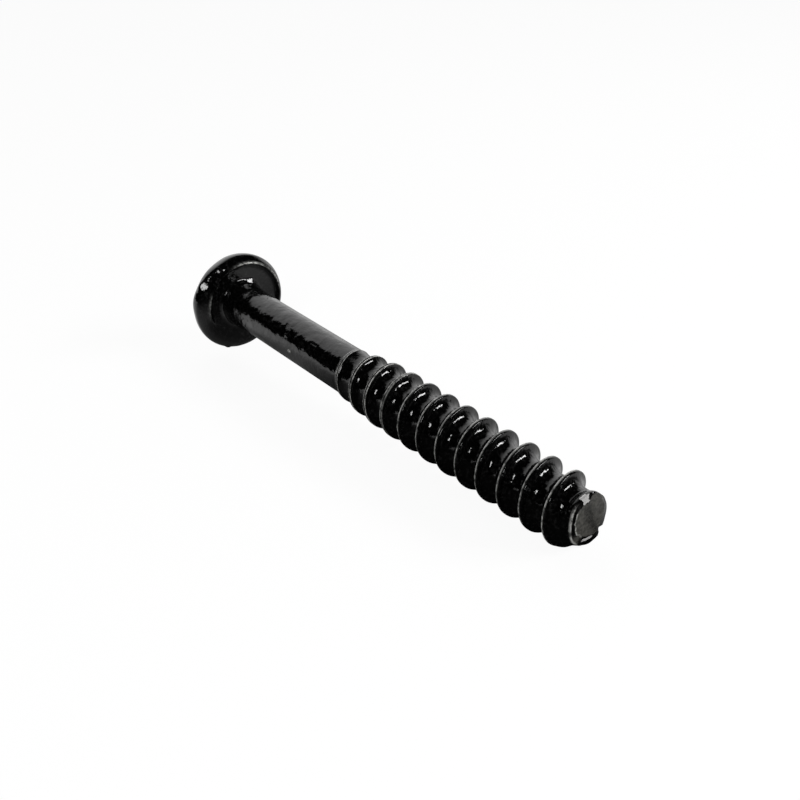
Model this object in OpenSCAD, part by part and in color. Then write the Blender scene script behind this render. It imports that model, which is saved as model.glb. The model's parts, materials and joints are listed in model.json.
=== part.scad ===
// Self-tapping screw with a domed head, a plain shank and a coarse thread
// that runs to a blunt end. It lies on the rim of its head and on a thread
// crest near the tip, with the tip towards +X.

/* [Head] */
// Diameter over the rim
head_d = 8.8; // [8.4:0.05:9.4]
// Height from the bearing face to the crown
head_h = 2.95; // [2.7:0.05:3.2]
// Radius of the rounded edge under the rim
edge_r = 0.54; // [0.3:0.02:0.6]
// Radius of the shoulder between rim and crown
shoulder_r = 1.65; // [1.3:0.05:1.8]
// Radius of the fillet between head and shank
neck_r = 0.45; // [0.2:0.05:0.6]

/* [Drive recess] */
// Span of the cross over opposite wings at the crown
recess_span = 4.8; // [4.2:0.1:5.2]
// Span of the cross at its floor
recess_floor = 2; // [1.6:0.1:2.4]
// Width of each wing
wing_w = 1.05; // [0.8:0.05:1.2]
// Depth of the wings below the crown
recess_depth = 2; // [1.5:0.1:2.2]
// Depth of the cone in the floor of the cross
recess_cone = 0.35; // [0.2:0.05:0.4]

/* [Shank] */
// Diameter of the plain shank
shank_d = 3.8; // [3.7:0.02:3.9]
// Length from the bearing face to the tip
length = 40.5; // [38:0.5:50]
// Distance from the bearing face to the first sign of the thread
plain_length = 16.3; // [14:0.1:18]

/* [Thread] */
// Diameter over the crests
thread_d = 5; // [4.8:0.02:5.2]
// Diameter in the roots
root_d = 3.5; // [3.3:0.02:3.6]
// Distance from crest to crest
pitch = 2; // [1.9:0.05:2.3]
// Width of the flat on each crest
crest_w = 0.3; // [0.2:0.02:0.36]
// Angle of each flank, at the crest, to a plane across the axis
flank_angle = 12; // [8:1:24]
// Radius of the rounded groove between two crests
groove_r = 0.8; // [0.5:0.05:0.85]
// Turns over which the ridge rises from the shank
run_in = 3; // [2:0.1:3.5]
// Turn of the thread about the axis
thread_turn = 60; // [0:6:354]
// Facets in each turn of the thread
turn_steps = 28; // [24:2:36]

/* [Tip] */
// Diameter to which the ridge falls at the blunt end
tip_d = 4; // [3.8:0.02:4.2]
// Diameter to which the roots fall at the blunt end
tip_root_d = 3; // [2.8:0.05:3.2]
// Length of the low ridge between the run-out and the end face
tip_low = 0.5; // [0.4:0.05:0.6]
// Chamfer round the end face
tip_edge = 0.2; // [0.1:0.02:0.3]
// Depth of the shallow hollow in the end face
tip_hollow = 0.06; // [0.04:0.02:0.12]
// Length over which the last ridge falls
run_out = 1.2; // [0.8:0.1:1.4]

/* [Hidden] */
$fn = 72;

head_r = head_d / 2;
shank_r = shank_d / 2;
thread_r = thread_d / 2;
root_r = root_d / 2;
tip_r = tip_d / 2;
tip_root_r = tip_root_d / 2;

// Radius and sweep of the crown arc, which meets the shoulder smoothly
side_in = head_r - shoulder_r;
side_h = head_h - edge_r;
crown_r = (side_in * side_in + side_h * side_h - shoulder_r * shoulder_r)
    / (2 * (side_h - shoulder_r));
crown_sweep = asin(side_in / (crown_r - shoulder_r));

// The thread surface keeps this far inside the shank before the ridge rises
sink = 0.04;
thread_depth = thread_r - root_r;
flank_w = thread_depth * tan(flank_angle);
swing = 90 - flank_angle;
hollow_room = pitch / 2 - 0.02 - crest_w / 2 - flank_w;
hollow_r = min(groove_r, hollow_room / tan(swing / 2));
hollow_at = crest_w / 2 + flank_w + hollow_r * tan(swing / 2);
ridge_full_to = length - tip_low - run_out;
first_x = plain_length - pitch;
last_x = length + pitch / 2;
steps = ceil((last_x - first_x) / pitch * turn_steps);

// Half of the thread's section, from mid-groove to crest, as distance from
// the crest line and share of the depth
groove_side = [
    [pitch / 2, 0],
    for (k = [0 : 3])
        let (a = k * swing / 3)
        [hollow_at - hollow_r * sin(a), hollow_r * (1 - cos(a)) / thread_depth],
    [crest_w / 2, 1]
];
section = [
    for (p = groove_side) [-p[0], p[1]],
    for (k = [len(groove_side) - 1 : -1 : 1]) groove_side[k]
];
cols = len(section);

// Resting angle: the rounded edge of the rim and the last full crest on the
// underside both touch the ground
low_share = ((630 - thread_turn) % 360) / 360;
low_k = floor((ridge_full_to - first_x) / pitch - low_share);
low_x = first_x + pitch * (low_k + low_share) + crest_w / 2;
reach = low_x + edge_r;
drop = head_r - edge_r - thread_r;
lie = atan2(drop, reach) + asin(edge_r / norm([reach, drop]));
lift = (head_r - edge_r) * cos(lie) + edge_r - edge_r * sin(lie);
mid_x = ((length - head_h) * cos(lie) + (tip_r - tip_edge) * sin(lie)) / 2;

function within(t) = min(1, max(0, t));
function ease(t) = let (c = within(t)) c * c * (3 - 2 * c);
function rise(t) = sin(90 * within(t));

// Radius of the roots and of the crests at a distance along the axis
function root_at(x) = shank_r - sink
    - (shank_r - sink - root_r) * ease((x - plain_length) / pitch)
    - (root_r - tip_root_r) * ease((x - length + run_out) / run_out);
function crest_at(x) = x < ridge_full_to
    ? shank_r - sink + (thread_r - shank_r + sink)
        * rise((x - plain_length + pitch / 4) / (run_in * pitch))
    : thread_r - (thread_r - tip_r) * ease((x - ridge_full_to) / run_out);

function on_thread(i, d, share) = let (
        x = first_x + pitch * i / turn_steps + d,
        a = thread_turn + 360 * i / turn_steps,
        r = root_at(x) + (crest_at(x) - root_at(x)) * share
    ) [x, r * cos(a), r * sin(a)];

// Points: the line along mid-groove, then the rest of each section, then the
// two points on the axis that close the ends
seam_n = steps + turn_steps + 1;
inner_n = cols - 1;
function at(i, j) = j == 0 ? i
    : j == cols ? i + turn_steps
    : seam_n + i * inner_n + j - 1;
near_end = seam_n + (steps + 1) * inner_n;
far_end = near_end + 1;

module thread_body() {
    polyhedron(
        points = [
            for (i = [0 : seam_n - 1]) on_thread(i, -pitch / 2, 0),
            for (i = [0 : steps], j = [1 : cols - 1])
                on_thread(i, section[j][0], section[j][1]),
            [first_x, 0, 0],
            [first_x + pitch * steps / turn_steps, 0, 0]
        ],
        faces = [
            for (i = [0 : steps - 1], j = [0 : cols - 1])
                [at(i, j), at(i, j + 1), at(i + 1, j + 1)],
            for (i = [0 : steps - 1], j = [0 : cols - 1])
                [at(i, j), at(i + 1, j + 1), at(i + 1, j)],
            for (i = [0 : turn_steps - 1]) [i, i + 1, near_end],
            for (j = [0 : cols - 1]) [at(0, j + 1), at(0, j), near_end],
            for (i = [steps : steps + turn_steps - 1]) [i + 1, i, far_end],
            for (j = [0 : cols - 1]) [at(steps, j), at(steps, j + 1), far_end]
        ],
        convexity = 20
    );
}

// Turns a radius-and-distance outline about the screw's axis
module turned(outline) {
    rotate([0, 90, 0])
        rotate_extrude(convexity = 4)
            polygon(outline);
}

module head_and_shank() {
    turned([
        [0, -head_h],
        for (k = [1 : 6])
            let (a = crown_sweep * k / 6)
            [crown_r * sin(a), crown_r * (1 - cos(a)) - head_h],
        for (k = [1 : 8])
            let (a = crown_sweep + (90 - crown_sweep) * k / 8)
            [side_in + shoulder_r * sin(a), -edge_r - shoulder_r * cos(a)],
        for (k = [1 : 4])
            let (a = 90 * k / 4)
            [head_r - edge_r + edge_r * cos(a), -edge_r + edge_r * sin(a)],
        for (k = [0 : 4])
            let (a = 90 * k / 4)
            [shank_r + neck_r * (1 - sin(a)), neck_r * (1 - cos(a))],
        [shank_r, plain_length],
        [0, plain_length]
    ]);
}

// The thread, cut off at the chamfered end face
module cut_thread() {
    intersection() {
        thread_body();
        turned([
            [0, first_x - pitch],
            [thread_r + pitch, first_x - pitch],
            [thread_r + pitch, ridge_full_to + run_out],
            [tip_r, length - tip_edge],
            [tip_r - tip_edge, length],
            [0, length - tip_hollow]
        ]);
    }
}

// One wing pair of the cross, as a tapered slot through the crown
module wing_pair() {
    linear_extrude(height = wing_w, center = true)
        polygon([
            [-head_h - 0.2, -recess_span / 2],
            [-head_h - 0.2, recess_span / 2],
            [recess_depth - head_h, recess_floor / 2],
            [recess_depth - head_h, -recess_floor / 2]
        ]);
}

module cross_recess() {
    wing_pair();
    rotate([90, 0, 0]) wing_pair();
    turned([
        [0, recess_depth - head_h - 0.3],
        [recess_floor / 2 - 0.1, recess_depth - head_h - 0.3],
        [recess_floor / 2 - 0.1, recess_depth - head_h],
        [0, recess_depth + recess_cone - head_h]
    ]);
}

module screw() {
    color([0.03, 0.03, 0.032])
        translate([-mid_x, 0, lift])
            rotate([0, lie, 0])
                difference() {
                    union() {
                        head_and_shank();
                        cut_thread();
                    }
                    cross_recess();
                }
}

screw();
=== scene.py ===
"""Looks of the self-tapping screw: one closed lacquered mesh, a pale floor and soft studio light.

The screw is built in its own frame, in millimetres: the axis is +X, the bearing face of the head
is at x = 0 and the tip at x = LENGTH. Angles about the axis are in degrees, from +Y towards +Z.
pose() then lays the screw down as the CAD solid lies, in metres.
"""

import json
import math

import bpy
import numpy as np
from mathutils import Matrix, Vector


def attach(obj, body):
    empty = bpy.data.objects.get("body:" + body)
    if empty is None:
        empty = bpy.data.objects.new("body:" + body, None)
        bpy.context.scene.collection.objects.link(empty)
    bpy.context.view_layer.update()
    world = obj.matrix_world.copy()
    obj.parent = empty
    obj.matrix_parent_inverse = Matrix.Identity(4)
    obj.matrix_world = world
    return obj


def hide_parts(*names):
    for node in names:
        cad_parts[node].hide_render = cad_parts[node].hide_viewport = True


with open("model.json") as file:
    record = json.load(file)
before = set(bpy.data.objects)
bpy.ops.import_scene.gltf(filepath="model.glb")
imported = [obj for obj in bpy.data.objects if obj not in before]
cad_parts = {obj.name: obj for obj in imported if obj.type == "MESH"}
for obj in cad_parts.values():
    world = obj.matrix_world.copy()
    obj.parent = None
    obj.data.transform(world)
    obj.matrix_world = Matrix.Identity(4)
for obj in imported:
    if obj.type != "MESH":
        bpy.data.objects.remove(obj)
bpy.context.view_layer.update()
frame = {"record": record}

# Sizes of the CAD solid
HEAD_R, HEAD_H, EDGE_R, SHOULDER_R = 4.4, 2.95, 0.54, 1.65
RECESS_SPAN, RECESS_FLOOR, WING_W, RECESS_DEPTH, RECESS_CONE = 4.8, 2.0, 1.05, 2.0, 0.35
RECESS_OVER, CONE_R = 0.2, RECESS_FLOOR / 2 - 0.1
SHANK_R, LENGTH, PLAIN_LENGTH = 1.9, 40.5, 16.3
THREAD_R, ROOT_R, PITCH, GROOVE_R, GROOVE_AT = 2.5, 1.75, 2.0, 0.8, 0.957
RUN_IN, THREAD_TURN, RUN_OUT, SINK = 3.0, 60.0, 1.2, 0.04
TIP_R, TIP_ROOT_R, TIP_LOW = 2.0, 1.5, 0.5

# Coat under the head: a raised lip, a hollow inside it and a flared neck
LIP_R, LIP_H, LIP_FOOT_R, LIP_W = 3.66, 0.27, 3.37, 0.31
HOLLOW, HOLLOW_W = 0.12, 0.5
COAT_NECK_R, FLARE, FLARE_TO, FLARE_W = 0.42, 0.1, 2.8, 1.6

# The lip lies off centre, between two radii, and falls away below a height given as a sine
LIP_OFF_Y, LIP_OFF_Z, LIP_SMALLER = 0.24, 0.12, 0.04
OFF_FROM_R, OFF_INNER_W, OFF_OUTER_W = 2.6, 0.9, 0.6
LIP_FALL, LIP_FALL_FROM, LIP_FALL_W = 0.95, 0.1, 0.7

# Handles of the curve from the rim into the lip, as radius and x
RIM_CURVE = np.array([(HEAD_R, -EDGE_R), (HEAD_R, -0.2), (LIP_R + 0.34, -0.02), (LIP_R, LIP_H)])

# Rounded edges of the crest, and the drop of the shank's surface under the thread
CREST_FLAT, CREST_EDGE_W, CREST_EDGE_SHARE = 0.05, 0.12, 0.14
SHANK_DROP, SHANK_DROP_W = 0.5, 0.6

# Fine seam along the first crests
SEAM_DEPTH, SEAM_W, SEAM_FROM, SEAM_FROM_W, SEAM_TO, SEAM_TO_W = 0.05, 0.11, 16.0, 1.5, 25.0, 5.0

# Blunt end: where the thread has turned into the ragged rim, and where the bevel and the face begin
FULL_TO = LENGTH - TIP_LOW - RUN_OUT + 0.2
END_X, END_BLEND, BURR_STEP = LENGTH - 0.45, 0.55, 0.0875
BEVEL_X, FACE_X, FACE_HOLLOW = LENGTH - 0.15, LENGTH - 0.04, 0.05

# Ragged rim and sheared face of the blunt end, as angle and radius
RIM_TURN = ((0, 1.98), (27, 1.9), (75, 1.93), (114, 2.0), (127, 1.96), (140, 1.81),
            (159, 1.54), (183, 1.42), (205, 1.44), (243, 1.66), (271, 1.95), (288, 2.24),
            (309, 2.42), (315, 2.2), (318, 1.9), (322, 1.92), (327, 2.19), (345, 2.03))
FACE_TURN = ((18, 1.63), (43, 1.7), (69, 2.02), (80, 2.12), (87, 2.02), (93, 1.66),
             (131, 1.56), (155, 1.26), (185, 1.08), (233, 0.98), (270, 1.14), (305, 1.64),
             (314, 1.66), (319, 1.52), (324, 1.6), (350, 1.5))

# Waves of the face's ragged edge, as height, number in a turn and phase
RAGGED = ((0.025, 7, 1), (0.02, 13, 2), (0.02, 29, 0))

# Lumps and hollows in the coat: place as x, radius and angle, then half width across the axis and
# round it, and height
LUMPS = ((0.0, 2.14, 103, 0.13, 0.13, 0.03), (0.2, 1.94, 139, 0.13, 0.13, 0.03),
         (-0.9, 4.4, 168, 1.3, 1.6, 0.1), (-0.9, 4.35, 114, 1.0, 1.4, -0.07),
         (-0.3, 4.3, 249, 0.4, 0.4, 0.12), (-0.2, 4.2, 263, 0.3, 0.3, 0.05),
         (12.9, 1.9, 130.5, 1.4, 0.4, 0.06), (12.9, 1.9, 130.5, 1.0, 0.24, -0.06),
         (8.94, 1.9, 114, 0.8, 0.32, 0.05), (8.94, 1.9, 114, 0.5, 0.18, -0.05),
         (9.6, 1.9, 147, 0.7, 0.3, 0.06), (39.75, 1.9, 250, 0.75, 1.3, 0.33))

# Small flats on the rim and in the neck: place as x, radius and angle, then size and the way it faces
RIM_FACING, NECK_FACING = (0.69, -0.54, 0.48), (0.855, 0.061, 0.516)
FLATS = ((-0.34, 4.32, 147, 0.75, RIM_FACING), (-0.02, 4.13, 120, 0.42, RIM_FACING),
         (0.02, 2.11, 68, 0.4, NECK_FACING), (0.02, 2.18, 62, 0.4, NECK_FACING))

# Spots round the axis, as angle, half width and strength: wear of the lip, and at the blunt end a burr,
# two bare chips and a dull corner
LIP_WEAR, LIP_WEAR_RINGS = ((76, 36, 0.9), (172, 26, 0.4), (28, 24, 0.7)), 2.5
BURR, UPPER_CHIP, LOWER_CHIP, DULL_CORNER = (84, 30, 0.2), (103, 14, 1.4), (279, 32, 1.6), (234, 26, 0.9)

# Line of the lower chip, as angle and share of the bevel, and the worn edges of the bevel on its left
LOWER_CHIP_AT, LOWER_CHIP_W = ((255, 0.5), (270, 0.6), (305, 0.86)), 0.25
LEFT_AT, LEFT_REACH, LEFT_FADE = 188, 70, 24
BEVEL_EDGES = ((0.02, 0.12, 1.2), (0.98, 0.14, 1.3))

# Crease of the sheared face, as z and y, and how dull the face is, with painted shade that sets its two
# facets either side of
# the crease apart: at the crease, to its left, just to its right and further right, in the middle and at the
# edge
CREASE = ((-1.15, 1.23), (-0.17, 0.57), (1.03, 0.07), (2.0, -0.1))
CREASE_TONE, LEFT_TONE, RIGHT_TONE, OUTER_TONE, MIDDLE_TONE, EDGE_TONE = 0.28, 1.0, 0.8, 0.65, 0.55, 0.8
LEFT_TONE_W, RIGHT_TONE_W, OUTER_FROM, OUTER_W = 1.0, 0.22, 0.5, 0.8

# Bright lines on the crests, as distance from the crest line, half width and strength: one on most
# turns, and one on each side of the seam; they are a little fainter on the later turns
CREST_LINE = ((-0.085, 0.13, 1.0),)
SEAM_LINES = ((-0.13, 0.06, 1.7), (0.105, 0.06, 1.4))
LINE_RISE, FAINTER = 0.2, 0.25
FAINT_FROM, FAINT_FROM_W, FAINT_TO, FAINT_TO_W = 24.0, 3.0, 38.5, 1.5

# Bright speck on the shank: x and angle, half length, half width in degrees, strength
SPECK_X, SPECK_TURN, SPECK_L, SPECK_W, SPECK_WEAR = 10.26, 181.0, 0.22, 5.5, 3.0

# Mesh density: columns round the axis, lines of the crown patch from its middle, and rings
COLUMNS, SHANK_STEP, GRID_BEFORE, MERGE = 136, 0.12, 1.6, 0.02
PATCH_LINES = (0, 0.13, 0.26, 0.38, 0.45, 0.49, 0.515, 0.535, 0.56, 0.6, 0.7, 0.85, 1.05, 1.35,
               1.65, 1.95, 2.25, 2.5)
CROWN_RING_R, SHOULDER_FROM = 3.75, 38
UNDER_HEAD_RINGS = (3.63, 3.6, 3.56, 3.52, 3.48, 3.43, 3.37, 3.3, 3.2, 3.1, 2.95, 2.8, 2.65, 2.55)
BEVEL_RINGS = (0, 0.08, 0.2, 0.35, 0.5, 0.65, 0.8, 0.92, 0.98, 1)
FACE_RINGS = (0.95, 0.9, 0.84, 0.77, 0.7, 0.62, 0.54, 0.46, 0.38, 0.3, 0.22, 0.14, 0.06)

ANGLES = np.radians(THREAD_TURN + 360.0 * np.arange(COLUMNS) / COLUMNS)
TURN = np.degrees(ANGLES) % 360
COS, SIN = np.cos(ANGLES), np.sin(ANGLES)

# Colours
LACQUER, DUSTY_LACQUER = (0.0018, 0.0018, 0.0018, 1), (0.016, 0.016, 0.016, 1)
WORN_CREST, SHEARED_STEEL = (0.95, 0.95, 0.91, 1), (0.155, 0.151, 0.135, 1)
BARE_STEEL, PAPER, WHITE = (0.95, 0.94, 0.93, 1), (0.85, 0.85, 0.85, 1), (1, 1, 1, 1)

# Grain of the finish: scale and detail of the noise, then the range that is taken and what it becomes
DUST = 4300.0, 2.0, 0.52, 0.72, 0.0, 1.0
CREST_GRAIN = 3200.0, 2.0, 0.36, 0.58, 0.15, 1.0
FACE_GRAIN = 5200.0, 3.0, 0.35, 0.65, 0.4, 1.0
CHIP_GRAIN = 5200.0, 2.0, 0.35, 0.65, -0.28, 0.24

# Relief of the coat: scale and detail of the noise, and height in metres
SAG, PEEL = (700.0, 1.0, 0.00005), (1250.0, 1.0, 0.00006)
PEBBLE, FINE = (2600.0, 2.0, 0.000015), (5500.0, 1.0, 0.000013)

# Change of the relief along X in metres, from and to, and its share before and after
NECK_SHARE = -0.0184, -0.0158, 0.1, 1.0
PEEL_SHARE = -0.004, -0.0005, 1.0, 0.75
PEBBLE_SHARE = -0.004, 0.0, 1.0, 0.6

# Studio, in metres: half size of the floor, place where the rim touches it, round which the floor's painted
# shadow in the coat is darkest, and the camera
FLOOR_HALF, RIM_CONTACT = 2.0, (-0.0175, -0.0005, 0.0)
CAMERA_AT, SENSOR, LENS = (0.0517383, -0.0402835, 0.0368434), 36.0, 42.9011
CAMERA_RIGHT, CAMERA_UP = (0.64, 0.7683, 0.0), (-0.3597, 0.2996, 0.8837)


# Shape

def ease(t):
    """A smooth step from 0 at t = 0 to 1 at t = 1."""
    t = np.clip(t, 0, 1)
    return t * t * (3 - 2 * t)


def bump(t):
    """A smooth hill, 1 at t = 0 and nothing beyond 1."""
    return ease(1 - np.abs(t))


def hills(t, places):
    """Sum of smooth hills, each given as its place, half width and height."""
    return sum(height * bump((t - at) / reach) for at, reach, height in places)


def turn_gap(a, b):
    """Smallest difference between two angles."""
    return (np.asarray(a) - b + 180) % 360 - 180


def spot(place):
    """A smooth spot round the axis at every column, from its angle, half width and strength."""
    at, reach, strength = place
    return strength * bump(turn_gap(TURN, at) / reach)


def turned(pairs):
    """Radius at every column, from pairs of angle and radius."""
    a, r = np.array(sorted(pairs), float).T
    return np.interp(TURN, np.concatenate([a - 360, a, a + 360]), np.tile(r, 3))


def on_axis(x, r, a):
    """Point at a distance along the axis, a radius and an angle."""
    return x, r * math.cos(math.radians(a)), r * math.sin(math.radians(a))


class Skin:
    """Vertices and faces of one closed surface, with the masks that the lacquer reads."""

    MASKS = ("crest_wear", "bare_metal", "end_face")

    def __init__(self):
        self.points, self.faces, self.count = [], [], 0
        self.masks = {name: [] for name in self.MASKS}

    def add(self, points, **masks):
        points = np.asarray(points, float).reshape(-1, 3)
        index = self.count + np.arange(len(points))
        self.points.append(points)
        for name in self.MASKS:
            self.masks[name].append(np.broadcast_to(np.ravel(masks.get(name, 0.0)), len(points)))
        self.count += len(points)
        return index

    def ring(self, x, r, **masks):
        x = np.broadcast_to(x, COS.shape)
        return self.add(np.stack([x, r * COS, r * SIN], 1), **masks)

    def face(self, corners):
        """One face; corners that fall together count once."""
        kept = [c for i, c in enumerate(corners) if c != corners[i - 1]]
        if len(kept) > 2:
            self.faces.append(tuple(int(c) for c in kept[::-1]))

    def band(self, first, second):
        """Faces between two rings, of which the second lies further along the outline; returns the second."""
        for quad in zip(first, second, np.roll(second, -1), np.roll(first, -1)):
            self.face(quad)
        return second

    def grid(self, index):
        """Faces of a grid of vertices."""
        for j in range(index.shape[0] - 1):
            for k in range(index.shape[1] - 1):
                self.face((index[j, k], index[j + 1, k], index[j + 1, k + 1], index[j, k + 1]))


def crown_x(r):
    """Distance along the axis of the domed side of the head at a radius."""
    side_in, side_h = HEAD_R - SHOULDER_R, HEAD_H - EDGE_R
    crown_r = (side_in ** 2 + side_h ** 2 - SHOULDER_R ** 2) / (2 * (side_h - SHOULDER_R))
    meet = side_in * crown_r / (crown_r - SHOULDER_R)
    r = np.minimum(r, HEAD_R)
    dome = crown_r - np.sqrt(np.maximum(crown_r ** 2 - r ** 2, 0)) - HEAD_H
    side = -EDGE_R - np.sqrt(np.maximum(SHOULDER_R ** 2 - (r - side_in) ** 2, 0))
    return np.where(r < meet, dome, side)


def recess_x(y, z):
    """Floor of the cross recess at a place on the crown."""
    floor = np.full(np.shape(y), -HEAD_H - 1.0)
    soft = 0.035
    slope = (RECESS_DEPTH + RECESS_OVER) / ((RECESS_SPAN - RECESS_FLOOR) / 2)
    top = crown_x(np.hypot(y, z))
    for along, across in ((np.abs(y), np.abs(z)), (np.abs(z), np.abs(y))):
        wing = np.minimum(RECESS_DEPTH - HEAD_H, -HEAD_H - RECESS_OVER + (RECESS_SPAN / 2 - along) * slope)
        inside = ease((WING_W / 2 + soft - across) / (2 * soft))
        floor = np.maximum(floor, top + (wing - top) * inside)
    return floor + RECESS_CONE * np.clip(1 - np.hypot(y, z) / CONE_R, 0, 1)


def crown_patch(skin):
    """Square patch of the crown that holds the cross recess; returns its edge in column order."""
    line = np.array([-v for v in PATCH_LINES[:0:-1]] + list(PATCH_LINES))
    n = len(line) - 1
    y, z = np.meshgrid(line, line, indexing="ij")
    x = np.maximum(crown_x(np.hypot(y, z)), recess_x(y, z))
    index = skin.add(np.stack([x, y, z], -1)).reshape(n + 1, n + 1)
    skin.grid(index)
    edge = np.concatenate([index[n, :-1], index[::-1, n][:-1], index[0, ::-1][:-1], index[:-1, 0]])
    flat = np.concatenate(skin.points)[edge]
    corner = -45
    start = int(np.argmin(np.abs(turn_gap(np.degrees(np.arctan2(flat[:, 2], flat[:, 1])), corner))))
    shift = int(round((THREAD_TURN - corner) * COLUMNS / 360))
    return np.roll(np.roll(edge, -start), -shift)


def crown_rings(skin):
    """Crown from the square patch out to a round ring."""
    last = crown_patch(skin)
    square = np.concatenate(skin.points)[last]
    for t in (0.25, 0.5, 0.75, 1):
        y = square[:, 1] * (1 - t) + CROWN_RING_R * COS * t
        z = square[:, 2] * (1 - t) + CROWN_RING_R * SIN * t
        last = skin.band(last, skin.add(np.stack([crown_x(np.hypot(y, z)), y, z], 1)))
    return last


def head_outline():
    """Section of the head from the shoulder to the shank: radius, x, and what the coat adds to x."""
    outline = []
    for a in np.radians(np.linspace(SHOULDER_FROM, 90, 13)):
        outline.append((HEAD_R - SHOULDER_R + SHOULDER_R * math.sin(a), -EDGE_R - SHOULDER_R * math.cos(a)))
    for t in np.linspace(0, 1, 14)[1:]:
        weights = np.array([(1 - t) ** 3, 3 * t * (1 - t) ** 2, 3 * t * t * (1 - t), t ** 3])
        outline.append(tuple(weights @ RIM_CURVE))
    outline = [(r, min(x, 0.0), max(x, 0.0)) for r, x in outline]
    for r in UNDER_HEAD_RINGS:
        lip = LIP_H * float(ease((r - LIP_FOOT_R) / LIP_W))
        outline.append((r, 0.0, lip - HOLLOW * float(ease((LIP_R - r) / HOLLOW_W))))
    inner = SHANK_R + FLARE + COAT_NECK_R
    for a in np.radians(np.linspace(0, 90, 9)):
        outline.append((inner - COAT_NECK_R * math.sin(a), COAT_NECK_R * (1 - math.cos(a)), -HOLLOW))
    return outline


def head_rings(skin):
    """Crown, shoulder, rim, bearing face and neck, from the crown patch to the shank."""
    last = crown_rings(skin)
    outline = head_outline()
    lip_at = int(np.argmax([added for r, x, added in outline]))
    worn = sum(spot(place) for place in LIP_WEAR)
    upper_side = 1 - LIP_FALL * ease((LIP_FALL_FROM - SIN) / LIP_FALL_W)
    aside = LIP_OFF_Y * COS + LIP_OFF_Z * SIN - LIP_SMALLER
    for k, (r, x, added) in enumerate(outline):
        moved = float(ease((HEAD_R - r) / OFF_OUTER_W) * ease((r - OFF_FROM_R) / OFF_INNER_W))
        wear = worn * bump((k - lip_at) / LIP_WEAR_RINGS)
        last = skin.band(last, skin.ring(x + added * upper_side, r + aside * moved, crest_wear=wear))
    return last


def shank_rings(skin, last):
    """Plain shank with its flared neck and its bright speck; returns the last ring and its x."""
    places = np.arange(COAT_NECK_R - HOLLOW + SHANK_STEP, PLAIN_LENGTH - GRID_BEFORE, SHANK_STEP)
    for x in places:
        speck = SPECK_WEAR * bump(np.hypot((x - SPECK_X) / SPECK_L, turn_gap(TURN, SPECK_TURN) / SPECK_W))
        ring = skin.ring(x, SHANK_R + FLARE * ease((FLARE_TO - x) / FLARE_W), crest_wear=speck)
        last = skin.band(last, ring)
    return last, float(places[-1])


def thread_section():
    """One pitch of the thread between mid-grooves: distance from the crest line and share of the depth."""
    edge = np.radians(np.arange(18, 91, 18))
    arc = np.radians(np.array([74, 67, 60, 53, 46, 39, 32, 25, 18, 9, 0]))
    d = np.concatenate([[0, 0.028, CREST_FLAT], CREST_FLAT + CREST_EDGE_W * np.sin(edge),
                        GROOVE_AT - GROOVE_R * np.sin(arc)])
    share = np.concatenate([[1, 1, 1], 1 - CREST_EDGE_SHARE * (1 - np.cos(edge)),
                            GROOVE_R * (1 - np.cos(arc)) / (THREAD_R - ROOT_R)])
    return np.concatenate([[-PITCH / 2], -d[:0:-1], d]), np.concatenate([[0], share[:0:-1], share])


def root_at(x):
    """Radius of the roots at a distance along the axis."""
    run_in = (SHANK_R - SINK - ROOT_R) * ease((x - PLAIN_LENGTH) / PITCH)
    return SHANK_R - SINK - run_in - (ROOT_R - TIP_ROOT_R) * ease((x - LENGTH + RUN_OUT) / RUN_OUT)


def crest_at(x):
    """Radius of the crests at a distance along the axis."""
    rise = np.sin(np.pi / 2 * np.clip((x - PLAIN_LENGTH + PITCH / 4) / (RUN_IN * PITCH), 0, 1))
    risen = SHANK_R - SINK + (THREAD_R - SHANK_R + SINK) * rise
    return np.where(x < FULL_TO, risen, THREAD_R - (THREAD_R - TIP_R) * ease((x - FULL_TO) / RUN_OUT))


def with_seam(x):
    """1 on the first turns, where the crest has a seam, and 0 on the later ones."""
    return ease((SEAM_TO - x) / SEAM_TO_W)


def at_end(x):
    """0 along the thread, rising to 1 where it has turned into the ragged rim."""
    return ease((x - END_X + END_BLEND) / END_BLEND)


def thread_radius(x, d, share):
    """Radius of the shank's end, the thread and its seam, and the ragged rim."""
    ridge = root_at(x) + (crest_at(x) - root_at(x)) * share
    shank = SHANK_R - SHANK_DROP * ease((x - PLAIN_LENGTH) / SHANK_DROP_W)
    seam = SEAM_DEPTH * with_seam(x) * ease((x - SEAM_FROM) / SEAM_FROM_W) * bump(d / SEAM_W)
    r = np.maximum(ridge, shank) - seam
    return r + (turned(RIM_TURN) - r) * at_end(x)


def thread_wear(x, d):
    """Strength of the bright lines on the crests."""
    single, double = hills(d, CREST_LINE), hills(d, SEAM_LINES)
    lines = single + (double - single) * with_seam(x)
    faint = FAINTER * ease((x - FAINT_FROM) / FAINT_FROM_W) * ease((FAINT_TO - x) / FAINT_TO_W)
    return lines * ease((crest_at(x) - SHANK_R) / LINE_RISE) * (1 - at_end(x)) * (1 - faint)


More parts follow.
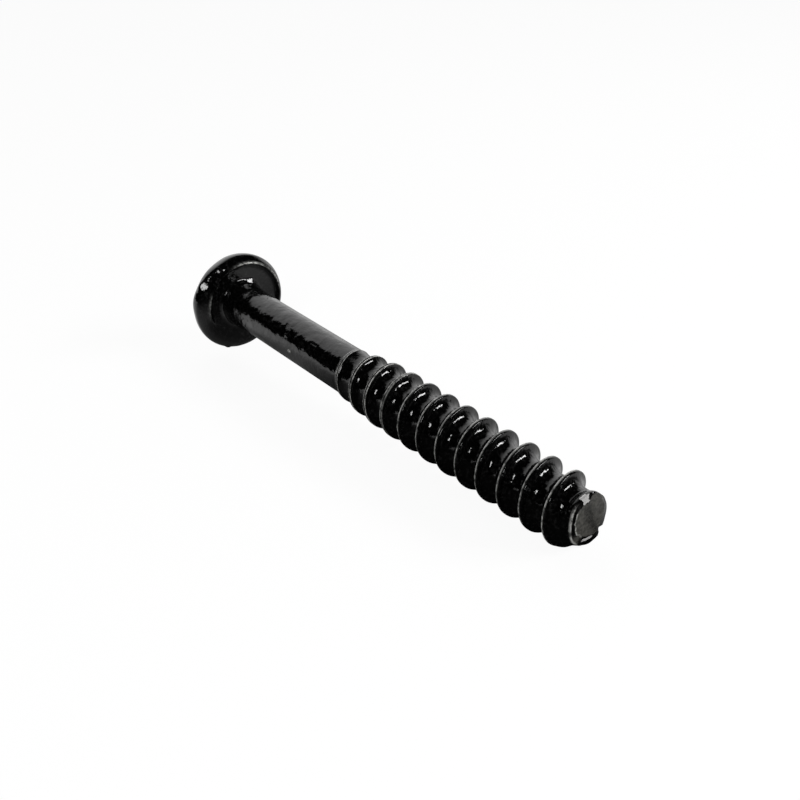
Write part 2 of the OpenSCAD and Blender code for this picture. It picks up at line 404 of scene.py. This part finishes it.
def thread_rows(skin, last, start):
    """Shank end, thread and run-out from a plain ring to the ragged rim, on a grid that follows the helix."""
    section, share = thread_section()
    per_turn = len(section)
    turns = math.ceil((END_X - start) / PITCH) + 3
    first = PLAIN_LENGTH - PITCH
    lowest = first - PITCH * math.ceil((first - start + PITCH) / PITCH)
    along = (lowest + PITCH * np.arange(turns)[:, None] + section).ravel()
    x = along[:, None] + PITCH * np.arange(COLUMNS) / COLUMNS
    d = np.tile(section, turns)[:, None]
    r = thread_radius(x, d, np.tile(share, turns)[:, None])
    before = x <= start + MERGE
    inside = ~before & (x < END_X - MERGE)
    index = np.full(x.shape, -1)
    place = np.stack([x, r * COS, r * SIN], -1)
    index[inside] = skin.add(place[inside], crest_wear=thread_wear(x, d)[inside])
    final = skin.ring(END_X, turned(RIM_TURN))
    index = np.where(before, last, np.where(inside, index, final))
    wrapped = np.full(len(x), final[0])
    wrapped[:-per_turn] = index[per_turn:, 0]
    skin.grid(np.concatenate([index, wrapped[:, None]], 1))
    return final


def face_radius():
    """Radius of the sheared face, with its ragged edge."""
    return turned(FACE_TURN) + sum(height * np.sin(n * ANGLES + phase) for height, n, phase in RAGGED)


def bevel_rings(skin, last):
    """Burr and bevel of the blunt end, with its chips of bare metal."""
    rim, face, burr = turned(RIM_TURN), face_radius(), spot(BURR)
    upper, lower, corner = spot(UPPER_CHIP), spot(LOWER_CHIP), spot(DULL_CORNER)
    lower_at = np.interp(TURN, *np.transpose(LOWER_CHIP_AT))
    left = ease((LEFT_REACH - np.abs(TURN - LEFT_AT)) / LEFT_FADE)
    chip = np.clip(upper * ease(0.75), 0, 1)
    last = skin.band(last, skin.ring(END_X + BURR_STEP, rim + burr / 2, bare_metal=chip))
    for u in BEVEL_RINGS:
        chips = np.clip(upper + lower * bump((u - lower_at) / LOWER_CHIP_W), 0, 1)
        dull = np.maximum(EDGE_TONE * float(u == 1), corner * ease((u + 0.1) / 0.4))
        r = rim + burr + (face - rim - burr) * u
        ring = skin.ring(BEVEL_X + (FACE_X - BEVEL_X) * u, r, bare_metal=chips, end_face=dull,
                         crest_wear=left * hills(u, BEVEL_EDGES))
        last = skin.band(last, ring)
    return last


def face_dullness_and_painted_shade(y, z):
    """How dull the sheared face is at a place, with painted shade that sets its two facets either side of the
    crease apart.
    """
    past = y - np.interp(z, *np.transpose(CREASE))
    left = CREASE_TONE + (LEFT_TONE - CREASE_TONE) * ease(-past / LEFT_TONE_W)
    right = CREASE_TONE + (RIGHT_TONE - CREASE_TONE) * ease(past / RIGHT_TONE_W)
    outer = (OUTER_TONE - RIGHT_TONE) * ease((past - OUTER_FROM) / OUTER_W)
    return np.where(past < 0, left, right + outer)


def face_rings(skin, last):
    """Sheared face of the blunt end, slightly hollow."""
    for s in FACE_RINGS:
        r = face_radius() * s
        ring = skin.ring(FACE_X - FACE_HOLLOW * (1 - s), r, end_face=face_dullness_and_painted_shade(r * COS, r * SIN))
        last = skin.band(last, ring)
    middle = skin.add([[FACE_X - FACE_HOLLOW, 0, 0]], end_face=MIDDLE_TONE)[0]
    for k in range(COLUMNS):
        skin.face((last[k], middle, last[(k + 1) % COLUMNS]))


def coat(mesh):
    """Raises the lumps of the coat along the surface's normals and presses in the flats."""
    points, normals = np.empty(len(mesh.vertices) * 3), np.empty(len(mesh.vertices) * 3)
    mesh.vertices.foreach_get("co", points)
    mesh.vertices.foreach_get("normal", normals)
    points, normals = points.reshape(-1, 3), normals.reshape(-1, 3)
    height = np.zeros(len(points))
    for x, r, a, across, around, rise in LUMPS:
        offset = points - on_axis(x, r, a)
        round_axis = offset @ on_axis(0, 1, a + 90)
        off_axis = np.sqrt(np.maximum((offset ** 2).sum(1) - round_axis ** 2, 0))
        height += rise * bump(np.hypot(off_axis / across, round_axis / around))
    points = points + normals * height[:, None]
    for x, r, a, size, facing in FLATS:
        facing = np.array(facing) / np.linalg.norm(facing)
        offset = points - on_axis(x, r, a)
        pressed = ease(2 - 2 * np.linalg.norm(offset, axis=1) / size) * (offset @ facing)
        points = points - pressed[:, None] * facing
    mesh.vertices.foreach_set("co", points.ravel())


def pose():
    """Takes the screw to where the CAD solid lies, by the mount on its bearing face."""
    seat = next(mount for mount in frame["record"]["mounts"] if mount["name"] == "bearing_face")
    lie = math.atan2(-seat["axis"][2], seat["axis"][0])
    middle = Vector((seat["pos_m"][0], 0, seat["pos_m"][2]))
    return Matrix.Translation(middle) @ Matrix.Rotation(lie, 4, "Y") @ Matrix.Scale(0.001, 4)


def screw_mesh():
    """The whole screw as one closed mesh, with its masks as attributes."""
    skin = Skin()
    last = head_rings(skin)
    last, start = shank_rings(skin, last)
    last = thread_rows(skin, last, start)
    last = bevel_rings(skin, last)
    face_rings(skin, last)
    mesh = bpy.data.meshes.new("screw_skin")
    mesh.from_pydata(np.concatenate(skin.points).tolist(), [], skin.faces)
    mesh.validate()
    mesh.polygons.foreach_set("use_smooth", np.ones(len(mesh.polygons), bool))
    for name, values in skin.masks.items():
        mask = mesh.attributes.new(name, "FLOAT", "POINT")
        mask.data.foreach_set("value", np.concatenate(values).astype(np.float32))
    coat(mesh)
    mesh.transform(pose())
    mesh.update()
    return mesh


# Finish

class Nodes:
    """Short hand for building a node tree."""

    def __init__(self, tree):
        self.tree = tree
        tree.nodes.clear()

    def add(self, kind, inputs=(), **settings):
        """Makes a node, sets or links its inputs, and returns its outputs."""
        node = self.tree.nodes.new(kind)
        for name, value in settings.items():
            setattr(node, name, value)
        for name, value in dict(inputs).items():
            if isinstance(value, bpy.types.NodeSocket):
                self.tree.links.new(value, node.inputs[name])
            else:
                node.inputs[name].default_value = value
        return node.outputs

    def math(self, how, a, b):
        return self.add("ShaderNodeMath", {0: a, 1: b}, operation=how)[0]

    def times(self, a, b):
        return self.math("MULTIPLY", a, b)

    def ramp(self, value, low, high, to_low, to_high, kind="LINEAR"):
        """Goes from to_low to to_high as the value goes from low to high, and no further."""
        inputs = {"Value": value, "From Min": low, "From Max": high, "To Min": to_low, "To Max": to_high}
        return self.add("ShaderNodeMapRange", inputs, interpolation_type=kind)["Result"]

    def soft(self, value, low, high, to_low, to_high):
        return self.ramp(value, low, high, to_low, to_high, "SMOOTHSTEP")

    def blend(self, factor, a, b):
        return self.add("ShaderNodeMix", {"Factor": factor, "A": a, "B": b}, data_type="RGBA")["Result"]

    def mask(self, name):
        return self.add("ShaderNodeAttribute", attribute_name=name)["Fac"]

    def noise(self, place, scale, detail):
        return self.add("ShaderNodeTexNoise", {"Vector": place, "Scale": scale, "Detail": detail})["Fac"]

    def grain(self, place, scale, detail, low, high, to_low, to_high):
        return self.ramp(self.noise(place, scale, detail), low, high, to_low, to_high)


def coat_normal(make, place):
    """Normal of the lumpy coat, smoother in the neck and on the thread."""
    along = make.add("ShaderNodeSeparateXYZ", {"Vector": place})["X"]
    neck = make.ramp(along, *NECK_SHARE)
    peel = make.times(make.ramp(along, *PEEL_SHARE), neck)
    pebble = make.times(make.ramp(along, *PEBBLE_SHARE), neck)
    below = {}
    for (scale, detail, rise), share in ((SAG, neck), (PEEL, peel), (PEBBLE, pebble), (FINE, 1.0)):
        height = make.times(make.noise(place, scale, detail), share)
        layer = make.add("ShaderNodeBump", {"Height": height, "Strength": 1.0, "Distance": rise, **below})
        below = {"Normal": layer["Normal"]}
    return below["Normal"]


def black_lacquer():
    """Glossy black coat with a lumpy surface, worn along the crests and gone at the blunt end, whose face
    carries painted facet shade.
    """
    material = bpy.data.materials.new("black_lacquer")
    material.use_nodes = True
    make = Nodes(material.node_tree)
    place = make.add("ShaderNodeTexCoord")["Object"]
    face = make.mask("end_face")
    crest = make.times(make.mask("crest_wear"), make.grain(place, *CREST_GRAIN))
    # Share of dull sheared steel at the blunt end; on the face it also carries the painted shade of the two
    # facets
    dull = make.times(face, make.grain(place, *FACE_GRAIN))
    ragged = make.math("ADD", make.mask("bare_metal"), make.grain(place, *CHIP_GRAIN))
    bare = make.ramp(ragged, 0.4, 0.6, 0.0, 1.0)
    colour = make.blend(make.grain(place, *DUST), LACQUER, DUSTY_LACQUER)
    for share, over in ((crest, WORN_CREST), (dull, SHEARED_STEEL), (bare, BARE_STEEL)):
        colour = make.blend(share, colour, over)
    worn = make.math("MAXIMUM", make.math("MAXIMUM", crest, face), bare)
    shader = make.add("ShaderNodeBsdfPrincipled", {
        "Base Color": colour,
        "Metallic": make.times(worn, make.ramp(bare, 0.0, 1.0, 0.15, 0.35)),
        "Roughness": make.ramp(worn, 0.0, 1.0, 0.07, 0.45),
        "IOR": 1.5,
        "Normal": coat_normal(make, place)})
    make.add("ShaderNodeOutputMaterial", {"Surface": shader["BSDF"]})
    return material


# Studio

def painted_mirror_level(make):
    """How pale the floor shows in the coat, as painted emission: pale at the far left and in a strip behind
    the screw, with painted shade towards the front right and a painted shadow beside the rim, as in a
    photograph tent with one open side."""
    ground = make.add("ShaderNodeTexCoord")["Object"]
    place = make.add("ShaderNodeSeparateXYZ", {"Vector": ground})
    x, y = place["X"], place["Y"]
    # Painted emission level, not light that falls on the floor: dark towards the front right as painted shade
    far = make.times(make.soft(x, -0.006, -0.03, 0.0, 0.75), make.soft(y, 0.003, -0.004, 0.8, 1.0))
    near = make.times(make.soft(x, 0.004, -0.014, 0.015, 0.2), make.soft(y, 0.001, -0.006, 0.05, 1.0))
    # Painted shadow of the screw round the place where the rim touches the floor
    from_rim = make.add("ShaderNodeVectorMath", {0: ground, 1: RIM_CONTACT}, operation="DISTANCE")["Value"]
    left = make.times(make.math("ADD", far, near), make.soft(from_rim, 0.002, 0.007, 0.35, 1.0))
    back = make.times(make.soft(y, 0.001, 0.008, 0.0, 0.55), make.soft(x, -0.016, -0.005, 0.1, 1.0))
    back = make.times(back, make.soft(x, 0.034, 0.025, 0.1, 1.0))
    return make.math("ADD", left, back)


def pale_floor():
    """White to the camera, with the screw's soft shadow kept, and in the glossy coat a painted level with
    painted shade and shadow.
    """
    material = bpy.data.materials.new("pale_floor")
    material.use_nodes = True
    make = Nodes(material.node_tree)
    path = make.add("ShaderNodeLightPath")
    glossy = make.math("MAXIMUM", path["Is Glossy Ray"], path["Is Transmission Ray"])
    seen = make.times(path["Is Camera Ray"], 0.85)
    paper = make.add("ShaderNodeBsdfDiffuse", {"Color": PAPER})["BSDF"]
    white = make.add("ShaderNodeEmission", {"Color": WHITE, "Strength": 1.1})["Emission"]
    # Painted reflection: the floor glows in the coat at this graded level, with its painted shade and shadow
    painted_reflection = make.add("ShaderNodeEmission", {"Color": WHITE, "Strength": painted_mirror_level(make)})["Emission"]
    mixed = make.add("ShaderNodeMixShader", {0: seen, 1: paper, 2: white})["Shader"]
    mixed = make.add("ShaderNodeMixShader", {0: glossy, 1: mixed, 2: painted_reflection})["Shader"]
    make.add("ShaderNodeOutputMaterial", {"Surface": mixed})
    return material


def floor():
    """A plain square floor."""
    mesh = bpy.data.meshes.new("floor")
    corners = [(x * FLOOR_HALF, y * FLOOR_HALF, 0) for x, y in ((-1, -1), (1, -1), (1, 1), (-1, 1))]
    mesh.from_pydata(corners, [], [(0, 1, 2, 3)])
    mesh.materials.append(pale_floor())
    obj = bpy.data.objects.new("floor", mesh)
    bpy.context.scene.collection.objects.link(obj)


def world_light():
    """Soft light from a white backdrop behind the screw and to its left; dark in front and overhead."""
    world = bpy.data.worlds.new("studio")
    bpy.context.scene.world = world
    world.use_nodes = True
    make = Nodes(world.node_tree)
    way = make.add("ShaderNodeTexCoord")["Generated"]
    level_way = make.add("ShaderNodeVectorMath", {0: way, 1: (1, 1, 0)}, operation="MULTIPLY")["Vector"]
    level_way = make.add("ShaderNodeVectorMath", {0: level_way}, operation="NORMALIZE")["Vector"]

    def towards(azimuth):
        a = math.radians(azimuth)
        inputs = {0: level_way, 1: (math.cos(a), math.sin(a), 0)}
        return make.add("ShaderNodeVectorMath", inputs, operation="DOT_PRODUCT")["Value"]

    edge = make.soft(towards(115), 0.0, 0.08, 0.0, 1.0)
    side = make.times(edge, make.ramp(towards(150), -0.25, 0.9, 0.0, 1.15))
    height = make.add("ShaderNodeSeparateXYZ", {"Vector": way})["Z"]
    height = make.math("ADD", height, make.ramp(towards(180), -1.0, 1.0, 0.6, -0.6))
    level = make.times(side, make.soft(height, 0.456, 0.156, 0.0, 1.0))
    light = make.add("ShaderNodeBackground", {"Color": WHITE, "Strength": level})["Background"]
    white = make.add("ShaderNodeBackground", {"Color": WHITE, "Strength": 1.0})["Background"]
    seen = make.add("ShaderNodeLightPath")["Is Camera Ray"]
    mixed = make.add("ShaderNodeMixShader", {0: seen, 1: light, 2: white})["Shader"]
    make.add("ShaderNodeOutputWorld", {"Surface": mixed})


def lamp(name, azimuth, elevation, distance, width, height, radiance):
    """A small soft box that faces the screw; azimuth from +X towards +Y, in degrees."""
    data = bpy.data.lights.new(name, "AREA")
    data.shape, data.size, data.size_y = "RECTANGLE", width, height
    data.energy = radiance * math.pi * width * height
    obj = bpy.data.objects.new(name, data)
    bpy.context.scene.collection.objects.link(obj)
    a, e = math.radians(azimuth), math.radians(elevation)
    away = Vector((math.cos(a) * math.cos(e), math.sin(a) * math.cos(e), math.sin(e)))
    obj.location = away * distance
    obj.rotation_mode = "QUATERNION"
    obj.rotation_quaternion = away.to_track_quat("Z", "Y")


def camera():
    """Camera of the photograph, for a square picture."""
    data = bpy.data.cameras.new("camera")
    data.sensor_width, data.lens = SENSOR, LENS
    data.clip_start, data.clip_end = 0.001, 20.0
    obj = bpy.data.objects.new("camera", data)
    bpy.context.scene.collection.objects.link(obj)
    right, up = Vector(CAMERA_RIGHT).normalized(), Vector(CAMERA_UP)
    up = (up - right * up.dot(right)).normalized()
    turn = Matrix((right, up, right.cross(up))).transposed().to_4x4()
    obj.matrix_world = Matrix.Translation(CAMERA_AT) @ turn
    bpy.context.scene.camera = obj


screw = bpy.data.objects.new("screw_lacquered", screw_mesh())
bpy.context.scene.collection.objects.link(screw)
screw.data.materials.append(black_lacquer())
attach(screw, "root")
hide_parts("screw")

floor()
world_light()
lamp("strip", azimuth=43, elevation=29, distance=0.3, width=0.16, height=0.04, radiance=20.0)
lamp("spot", azimuth=-52, elevation=34, distance=0.3, width=0.06, height=0.06, radiance=13.0)
camera()
bpy.context.scene.view_settings.view_transform = "Standard"
